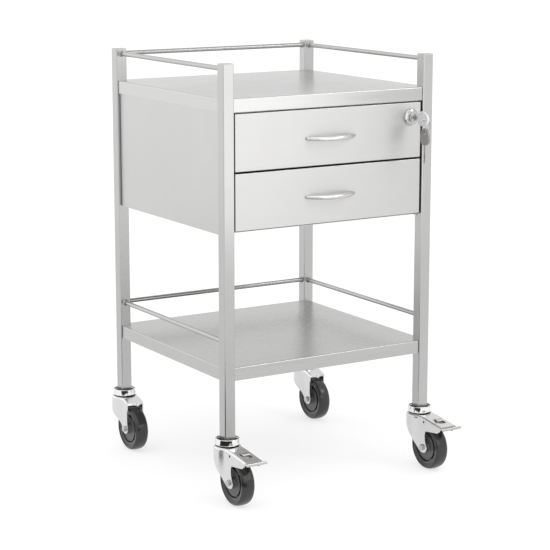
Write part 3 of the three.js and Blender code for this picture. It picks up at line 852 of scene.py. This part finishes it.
def build_key(node, body, plastic, upright):
    """upright keys hang from their ring hole; the other points into the lock."""
    low, high = node_box(node)
    middle = (low + high) / 2
    thickness = high.x - low.x
    reach = (high.z - low.z) if upright else (high.y - low.y)
    tip = KEY_HOLE_FROM_END - reach
    if upright:
        def place(u, v, depth):
            return (middle.x + depth, middle.y + u, high.z - KEY_HOLE_FROM_END + v)
    else:
        def place(u, v, depth):
            return (middle.x + depth, low.y + KEY_HOLE_FROM_END - v, middle.z + u)

    bm = bmesh.new()
    hole = bore_outline((0, 0), KEY_HOLE_RADIUS)
    half = thickness / 2
    plate(bm, key_head_outline(), thickness, lambda u, v, d: place(u, v, d - half), [hole])
    head = make_object(node + "_head", bm)
    soften(head, 1.3, 4)
    dress(head, plastic, body, node)

    bm = bmesh.new()
    plate(bm, key_blade_outline(tip), 2.0, lambda u, v, d: place(u, v, d - 1.0))
    blade = make_object(node + "_blade", bm)
    bm = bmesh.new()
    groove = [(-1.6, tip - 2), (-0.2, tip - 2), (-0.2, HEAD_END - 1), (-1.6, HEAD_END - 1)]
    plate(bm, groove, 1.0, lambda u, v, d: place(u, v, d + 0.45))
    cut(blade, [make_object("groove", bm)])
    soften(blade, 0.18, 1)
    dress(blade, NICKEL, body, node)


def build_ring():
    """A split ring of two coils, side by side."""
    low, high = node_box("key_ring")
    middle = (low + high) / 2
    radius = (high.z - low.z) / 2 - RING_WIRE
    steps = 110
    centres = []
    for i in range(steps + 1):
        angle = 2 * math.pi * RING_TURNS * i / steps + 0.9
        drift = 0.86 * (i / steps - 0.5)
        offset = (radius * math.cos(angle), drift, radius * math.sin(angle))
        centres.append(tuple(middle + Vector(offset)))
    bm = bmesh.new()
    swept(bm, centres, [RING_WIRE] * (steps + 1), 10, (0, 1, 0))
    dress(make_object("split_ring", bm), RING_STEEL, "key_ring", "key_ring")


# ---- Casters ----


def build_cup(name, origin):
    """Cup with its king pin below and its plug in the post above; the race and the recess are painted
    near-black as shade.
    """
    profile = [(0, 110.8), (8, 110.8), (8, 113.4), (5, 113.4), (5, 119.3), (19, 119.3)]
    profile += [(19, CUP_BOTTOM), (CUP_RADIUS, CUP_BOTTOM), (CUP_RADIUS - 0.7, CUP_RIM)]
    profile += [(CUP_RADIUS - 2.8, CUP_RIM), (CUP_RADIUS - 3, CUP_RECESS), (10.6, CUP_RECESS)]
    profile += [(10.6, 166), (0, 168)]
    rounded = [0, 1.0, 0.4, 0.3, 0.3, 0.3, 0.2, 1.6, 1.1, 1.0, 1.6, 0.4, 1.2, 0]
    bm = bmesh.new()
    turned(bm, filleted(profile, rounded, 6), 72)
    obj = make_object(f"cup_{name}", bm, origin)

    # Painted shade: the race's band under the cup and the flat of the recess round the plug.
    def is_painted_shade(face):
        height = face.center.z / MM
        in_recess = abs(height - CUP_RECESS) < 0.5 and abs(face.normal.z) > 0.9
        return in_recess or 118 < height < CUP_BOTTOM + 0.05

    paint(obj, CHROME, RACE_PAINTED_SHADE, is_painted_shade)
    dress(obj, None, "frame", f"caster_cup_{name}")


def curve_through(pieces):
    """An outline of straight and curved stretches: a point is a corner, and a triple is a Bezier."""
    points = []
    for part in pieces:
        if len(part) == 2:
            points.append(part)
            continue
        points += bezier(points[-1], *part, 8)
    return points


def plain_outline(back, sky):
    """Side outline in (y, z) of a fork leg, open above the roof."""
    return curve_through([
        (back, sky),
        (back, 98),
        ((19, 94), (9, 87), (2, 81)),
        (-16, 66),
        ((-21, 62), (-24, 57), (-27, 50)),
        ((-30, 43), (-34, 39), (-40, 39)),
        ((-49, 39), (-54, 44), (-55, 54)),
        ((-53, 60), (-51.5, 64), (-51.5, 72)),
        (-51.5, sky),
    ])


def braked_outline(back, sky):
    """As plain_outline, with the apron that covers the brake."""
    return curve_through([
        (back, sky),
        (back, 98),
        ((20, 97), (12, 93), (5, 85)),
        (-16, 58),
        ((-20, 53), (-24, 48), (-28, 43)),
        ((-32, 40), (-36, 38.5), (-41, 38.5)),
        ((-51, 38.5), (-56, 43), (-57.5, 52)),
        ((-52, 60), (-49.5, 67), (-49.5, 76)),
        ((-49.5, 86), (-51, 89), (-57, 89.7)),
        (-92, 93.8),
        ((-97, 94.4), (-100, 97), (-107, 107.5)),
        (-107, sky),
    ])


def fork_plan(half, head, front):
    """The left side seen from above, from the front to the middle of the back: (x, y, spine y)."""
    step = 2.0
    count = int((FORK_NECK - front) / step)
    points = [(-half, front + (FORK_NECK - front) * i / count) for i in range(count)]
    bulge = head / 2.4
    neck = (-half, FORK_NECK)
    points += [neck] + bezier(neck, (-half, FORK_NECK + bulge), (-head, -bulge), (-head, 0), 16)
    points += arc((0, 0), head, 180, 90, 16)[1:]
    return [(x, y, min(y, 0.0)) for x, y in points]


def fork_surface(bm, half, head, roof, front, pressed):
    """Mid-surface of the sheet: legs and back, rounded into the roof. pressed(y, z) dents the legs."""
    low = 34.0
    levels = 40
    left = fork_plan(half, head, front)
    plan = left + [(-x, y, spine) for x, y, spine in left[-2::-1]]
    rows = []
    for i, (x, y, spine) in enumerate(plan):
        before = plan[max(i - 1, 0)]
        after = plan[min(i + 1, len(plan) - 1)]
        along = Vector((after[0] - before[0], after[1] - before[1])).normalized()
        inward = Vector((along.y, -along.x))
        outer = Vector((x, y))
        top = roof(y)
        row = []
        for k in range(levels + 1):
            z = low + (top - FORK_BEND - low) * k / levels
            point = outer + inward * pressed(y, z)
            row.append((point.x, point.y, z))
        for offset, z in arc((FORK_BEND, top - FORK_BEND), FORK_BEND, 180, 90, 6)[1:]:
            point = outer + inward * offset
            row.append((point.x, point.y, z))
        rim = outer + inward * FORK_BEND
        for share in (0.35, 0.7, 1.0):
            row.append((rim.x * (1 - share), rim.y + (spine - rim.y) * share, top))
        rows.append(row)
    loft(bm, rows, closed=False)
    bmesh.ops.remove_doubles(bm, verts=bm.verts, dist=0.02)


def prism(name, outline, ends, place, origin):
    bm = bmesh.new()
    plate(bm, outline, ends[1] - ends[0], lambda u, v, d: place(u, v, ends[0] + d))
    return make_object(name, bm, origin)


def build_fork(name, end, origin):
    low, high = node_box(f"caster_fork_{name}")
    head = (high.x - low.x) / 2
    half = node_box(f"caster_axle_{name}")[1].x - origin[0] - AXLE_END
    t = FORK_SHEET / 2
    top = high.z
    braked = end == "front"
    fall_start, slope = BRAKED_ROOF if braked else PLAIN_ROOF
    front = -112.0 if braked else -60.0
    outline = (braked_outline if braked else plain_outline)(head + 2, top + 10)

    def roof(y):
        return top - t + min(0.0, (y - fall_start) * slope)

    def pressed(y, z):
        """A round dent, 1 mm deep, in the back of a plain fork's legs."""
        if braked:
            return 0.0
        inside = 26 - math.hypot(y + 6, z - 52)
        return 1.0 / (1 + math.exp(-inside / 0.7))

    bm = bmesh.new()
    fork_surface(bm, half - t, head - t, roof, front, pressed)
    obj = make_object(f"fork_{name}", bm, origin)
    thicken(obj, FORK_SHEET)
    apply_modifiers(obj)
    wide = (-2 * head, 2 * head)
    cut(obj, [prism("keep", outline, wide, along_x, origin)], "INTERSECT")
    cutters = [prism("axle_hole", bore_outline(AXLE, 4.3), wide, along_x, origin)]
    if braked:
        window = [(u, v - 75) for u, v in rounded_rectangle(10, 13, 2.5, 4)]
        slot = [(u - 20, v + 113.4) for u, v in rounded_rectangle(4.5, 1.1, 1.0, 3)]
        cutters.append(prism("window", window, (100, 125), along_z, origin))
        cutters.append(prism("side_slot", slot, wide, along_x, origin))
        cutters.append(prism("pin_hole", arc(BRAKE_PIN, 2.9, 0, 340, 17), wide, along_x, origin))
    cut(obj, cutters)
    soften(obj, 0.4, 2, 45)
    dress(obj, FORK_CHROME, f"caster_{name}", f"caster_fork_{name}")


def build_lever(name, origin):
    """Folded brake lever: an arm under the roof, a wide pedal with its lip turned down, a release tab."""
    body = f"brake_{name}"
    path = [(-40, 109.4), (-50, 111), (-66, 110), (-88, 107.5), (-104, 105.2), (-110.5, 105.8)]
    path += [(-117.6, 110.6), (-118.4, 104.4)]
    arm, pedal = 15.8, 26.0  # half widths
    pedal_start, lip_start, lip_top = -107.5, -116, 106.5
    rows = []
    for y, z in filleted(path, [0, 4, 4, 4, 4, 3, 2.2, 0], 6):
        half = arm + (pedal - arm) * min(1.0, max(0.0, pedal_start - y) / 2.5)
        if y < lip_start:
            half -= 3.0 * max(0.0, (lip_top - z) / 2.1) ** 2
        rows.append([(x * half, y, z) for x in (-1, -0.95, -0.6, 0, 0.6, 0.95, 1)])
    bm = bmesh.new()
    loft(bm, rows, closed=False)
    tab = filleted([(-75.6, 107.6), (-77.2, 117.2), (-67.6, 118.2)], [0, 2.2, 0], 6)
    loft(bm, [[(x, y, z) for x in (-8.2, 0, 8.2)] for y, z in tab], closed=False)
    obj = make_object(f"lever_{name}", bm, origin)
    thicken(obj, 1.9)
    soften(obj, 0.5, 2)
    dress(obj, LEVER_STEEL, body, f"brake_pedal_{name}")

    bm = bmesh.new()
    profile = filleted([(0, -19.4), (2.1, -19.4), (2.1, 19.4), (0, 19.4)], [0, 0.5, 0.5, 0], 3)
    turn = Matrix.Translation((0, *BRAKE_PIN)) @ Matrix.Rotation(math.pi / 2, 4, "Y")
    turned(bm, profile, 24, matrix=turn)
    pin = make_object(f"brake_pin_{name}", bm, origin)
    # Near-black painted shade: the pin reads as a shadowed hole in the fork leg.
    dress(pin, RACE_PAINTED_SHADE, body, f"brake_pedal_{name}")


def hex_ring(height, limit=math.inf):
    """A bolt head's hexagon, kept inside a circle of radius limit."""
    apothem = BOLT_CORNER * math.cos(math.pi / 6)
    steps = 6
    ring = []
    for i in range(6 * steps):
        angle = math.radians(60 * i / steps)
        from_flat = math.radians((60 * i / steps) % 60 - 30)
        radius = min(apothem / math.cos(from_flat), limit)
        ring.append((radius * math.cos(angle), radius * math.sin(angle), height))
    return ring


def build_axle(name, origin):
    """Hex bolt and domed nut with washers on a sleeve."""
    low, high = node_box(f"caster_axle_{name}")
    half = (high.x - low.x) / 2
    seat = half - BOLT_HEAD
    shank, sleeve, washer, tip = 4, 6, 6.9, 2.9  # radii
    bm = bmesh.new()
    turned(bm, [(0, -seat - 1), (shank, -seat - 1), (shank, 2.7 - seat), (sleeve, 2.7 - seat),
                (sleeve, seat - 2.7), (shank, seat - 2.7), (shank, seat + 1), (0, seat + 1)], 40)
    for sign in (-1, 1):
        ring = [(0, 0.05), (washer, 0.05), (washer, 0.9), (washer - 0.5, 1.1), (0, 1.1)]
        turned(bm, [(r, sign * (seat + z)) for r, z in ring], 40)
        rings = [hex_ring(sign * (seat + 0.9)), hex_ring(sign * (half - 1.1))]
        rings += [hex_ring(sign * (half - 0.7), 6.5), hex_ring(sign * (half - 0.35), 5.6)]
        rings.append([(0, 0, sign * (half - 0.25))])
        loft(bm, rings, caps=(True, False))
        end = [(0, -1), (tip, -1), (tip, -0.3), (tip - 0.6, 0), (0, 0)]
        turned(bm, [(r, sign * (half + z)) for r, z in end], 24)
    bmesh.ops.transform(bm, matrix=AXLE_ALONG_X, verts=bm.verts)
    obj = make_object(f"axle_{name}", bm, origin)
    soften(obj, 0.2, 2, 50)
    dress(obj, ZINC, f"caster_{name}", f"caster_axle_{name}")


def mirrored(half):
    """A closed profile of (radius, height), symmetrical in height, from its upper half."""
    return [(r, -h) for r, h in half] + [(r, h) for r, h in reversed(half)]


def build_wheel(name, origin):
    body = f"wheel_{name}"
    half = [(6.3, 17.6), (11, 17.6), (12.4, 10.4), (DISC_RADIUS - 1.6, 10.2), (DISC_RADIUS - 0.2, 11.6)]
    half += [(DISC_RADIUS + 0.4, 11.6), (DISC_RADIUS + 0.7, 7.6), (HUB_RADIUS - 0.2, 7.6)]
    half = filleted(half + [(HUB_RADIUS, 7.2)], [0, 1.4, 2.2, 0.8, 0.4, 0.3, 0.4, 0.1, 0], 5)
    bm = bmesh.new()
    turned(bm, mirrored(half), 96, closed=True, matrix=AXLE_ALONG_X)
    hub = make_object(f"hub_{name}", bm, origin)
    axle = Vector(origin) + Vector((0, *AXLE))

    def is_rim(face):
        spoke = face.center / MM - axle
        return math.hypot(spoke.y, spoke.z) > DISC_RADIUS + 0.5

    paint(hub, HUB_PLASTIC, TYRE_RUBBER, is_rim)
    dress(hub, None, body, f"wheel_hub_{name}")

    bore = HUB_RADIUS + 0.3
    side = [(bore, 8.5), (bore + 0.6, 11.4), (36, 12.6), (42.2, 13.6)]
    side += [(43.2, 15.2), (44.4, 15.2), (45.2, 14.2)]
    tread = []
    for degrees in range(80, 0, -8):
        angle = math.radians(degrees)
        crown = (1 - math.cos(angle)) ** 1.25
        tread.append((WHEEL_RADIUS - 4.4 * crown, 13.9 * math.sin(angle)))
    bm = bmesh.new()
    profile = mirrored(filleted(side, 0.5, 3) + tread)
    turned(bm, profile, 120, closed=True, matrix=AXLE_ALONG_X)
    tyre = make_object(f"tyre_{name}", bm, origin)
    dress(tyre, TYRE_RUBBER, body, f"wheel_tyre_{name}")


def build_caster(end, side):
    name = f"{end}_{side}"
    centre = node_middle(f"post_{name}")
    origin = (centre.x, centre.y, 0)
    build_cup(name, origin)
    build_fork(name, end, origin)
    build_axle(name, origin)
    build_wheel(name, origin)
    if end == "front":
        build_lever(name, origin)


# ---- Studio ----


FLOOR_RADIUS = 45000


def build_floor():
    """Pale floor, partly lit from within so that shadows stay faint."""
    bm = bmesh.new()
    centre = bm.verts.new((0, 0, 0))
    rim = [bm.verts.new((u, v, 0)) for u, v in arc((0, 0), FLOOR_RADIUS, 0, 350, 35)]
    for i in range(len(rim)):
        bm.faces.new((centre, rim[i - 1], rim[i]))
    floor = make_object("floor", bm)
    s = Shader("pale_floor")
    pale = s.blend(s.noise(3.0, 3.0), tint(0.34), tint(0.35))
    s.set(Base_Color=pale, Roughness=0.9, Specular_IOR_Level=0.1)
    s.set(Emission_Color=tint(1.0), Emission_Strength=0.66)
    floor.data.materials.append(s.material)


def build_flag(name, azimuths, distance, height):
    """A dark card standing round the cart's front left, which only reflections see."""
    bm = bmesh.new()
    steps = 24
    rings = []
    for reach, z in ((distance * 0.62, 2), (distance * 0.95, 4), (distance, 30), (distance, height)):
        ring = []
        for i in range(steps + 1):
            angle = math.radians(azimuths[0] + (azimuths[1] - azimuths[0]) * i / steps)
            ring.append((-reach * math.sin(angle), -reach * math.cos(angle), z))
        rings.append(ring)
    loft(bm, rings, closed=False)
    flag = make_object(name, bm)
    flag.data.materials.append(matte("dark_card", 0.012))
    flag.visible_camera = False
    flag.visible_diffuse = False
    flag.visible_shadow = False


def hang(name, light, place, aim):
    lamp = bpy.data.objects.new(name, light)
    lamp.location = place
    lamp.rotation_mode = "QUATERNION"
    lamp.rotation_quaternion = (Vector(aim) - Vector(place)).to_track_quat("-Z", "Y")
    lamp.visible_camera = False
    bpy.context.scene.collection.objects.link(lamp)


def softbox(name, place, aim, size, brightness):
    """A rectangular lamp; brightness is what its face shows, 1 for white."""
    light = bpy.data.lights.new(name, "AREA")
    light.shape = "RECTANGLE"
    light.size, light.size_y = size
    light.energy = brightness * math.pi * size[0] * size[1]
    hang(name, light, place, aim)


def sun(name, place, spread, strength):
    light = bpy.data.lights.new(name, "SUN")
    light.angle = math.radians(spread)
    light.energy = strength
    hang(name, light, place, (0, 0, 0))


# Direction, inner and outer half angle in degrees, and how much each patch of the sky is brighter.
SKY_PATCHES = (
    ((0.52, 0.84, 0.2), 20, 50, -0.02),
    ((-0.6, 0.8, 0.1), 20, 50, 0.35),
)


def build_sky():
    """White where the camera sees it; what lights the cart has a darker and a brighter patch."""
    world = bpy.data.worlds.new("studio")
    bpy.context.scene.world = world
    n = Nodes(world)
    toward = n.node("ShaderNodeTexCoord").outputs["Generated"]
    level = 1.0
    for direction, inner, outer, gain in SKY_PATCHES:
        aim = Vector(direction).normalized()
        along = n.node("ShaderNodeVectorMath", {0: toward, 1: aim}, operation="DOT_PRODUCT")
        edge, core = math.cos(math.radians(outer)), math.cos(math.radians(inner))
        along = along.outputs["Value"]
        shade = n.ranged(along, edge, core, 1.0, 1 + gain, interpolation_type="SMOOTHSTEP")
        level = n.math("MULTIPLY", level, shade)
    seen = n.node("ShaderNodeLightPath").outputs["Is Camera Ray"]
    mixed = n.node("ShaderNodeMix", {0: seen, 2: level, 3: 1.0}).outputs[0]
    background = n.tree.nodes["Background"]
    n.feed(background.inputs[0], (1, 1, 1, 1))
    n.feed(background.inputs[1], mixed)


def build_studio():
    build_floor()
    build_flag("dark_flag", (6, 84), 900, 100)
    build_sky()
    sun("high_sun", (-0.6, -1.0, 2.2), 60, 0.5)
    softbox("front_card", (0.1, -1.25, 0.85), (-0.1, -0.2, 0.85), (1.1, 1.0), 0.85)
    softbox("key_card", (1.3, -1.5, 1.95), (-0.2, -0.25, 0.05), (0.7, 0.7), 4.5)
    softbox("rear_card", (-1.9, 2.8, 0.8), (-0.2, 0.2, 0.6), (2.8, 1.6), 0.2)


def build_camera():
    data = bpy.data.cameras.new("camera")
    data.lens = LENS
    data.clip_start, data.clip_end = 0.1, 200
    camera = bpy.data.objects.new("camera", data)
    a, p = math.radians(CAMERA_AZIMUTH), math.radians(CAMERA_PITCH)
    ahead = Vector((-math.sin(a) * math.cos(p), math.cos(a) * math.cos(p), -math.sin(p)))
    camera.location = (Vector(CAMERA_FROM_CENTRE) + Vector((MIDDLE.x, MIDDLE.y, 0))) * MM
    camera.rotation_mode = "QUATERNION"
    camera.rotation_quaternion = ahead.to_track_quat("-Z", "Y")
    bpy.context.scene.collection.objects.link(camera)
    bpy.context.scene.camera = camera
    bpy.context.scene.view_settings.view_transform = "Standard"


# ---- Assembly ----

build_camera()
for end in ENDS:
    for side in SIDES:
        build_post(end, side)
        build_caster(end, side)
for level in ("upper", "lower"):
    for place in ("left", "right", "rear"):
        build_rail(level, place)
    for side in SIDES:
        for member in ("outer", "middle", "inner"):
            build_slide(level, member, side)
    build_front(level)
    build_box(level)
    build_handle(level)
build_pan("top_tray", "tray_sheet", TRAY_STEEL)
build_pan("lower_shelf", "shelf_sheet", SHELF_STEEL)
build_cabinet()
build_lock()
build_key("key", "lock_cylinder", KEY_LIGHT, upright=False)
# The spare key's head is darkened as painted shade.
build_key("spare_key", "spare_key", KEY_HEAD_SHADED, upright=True)
build_ring()
build_studio()
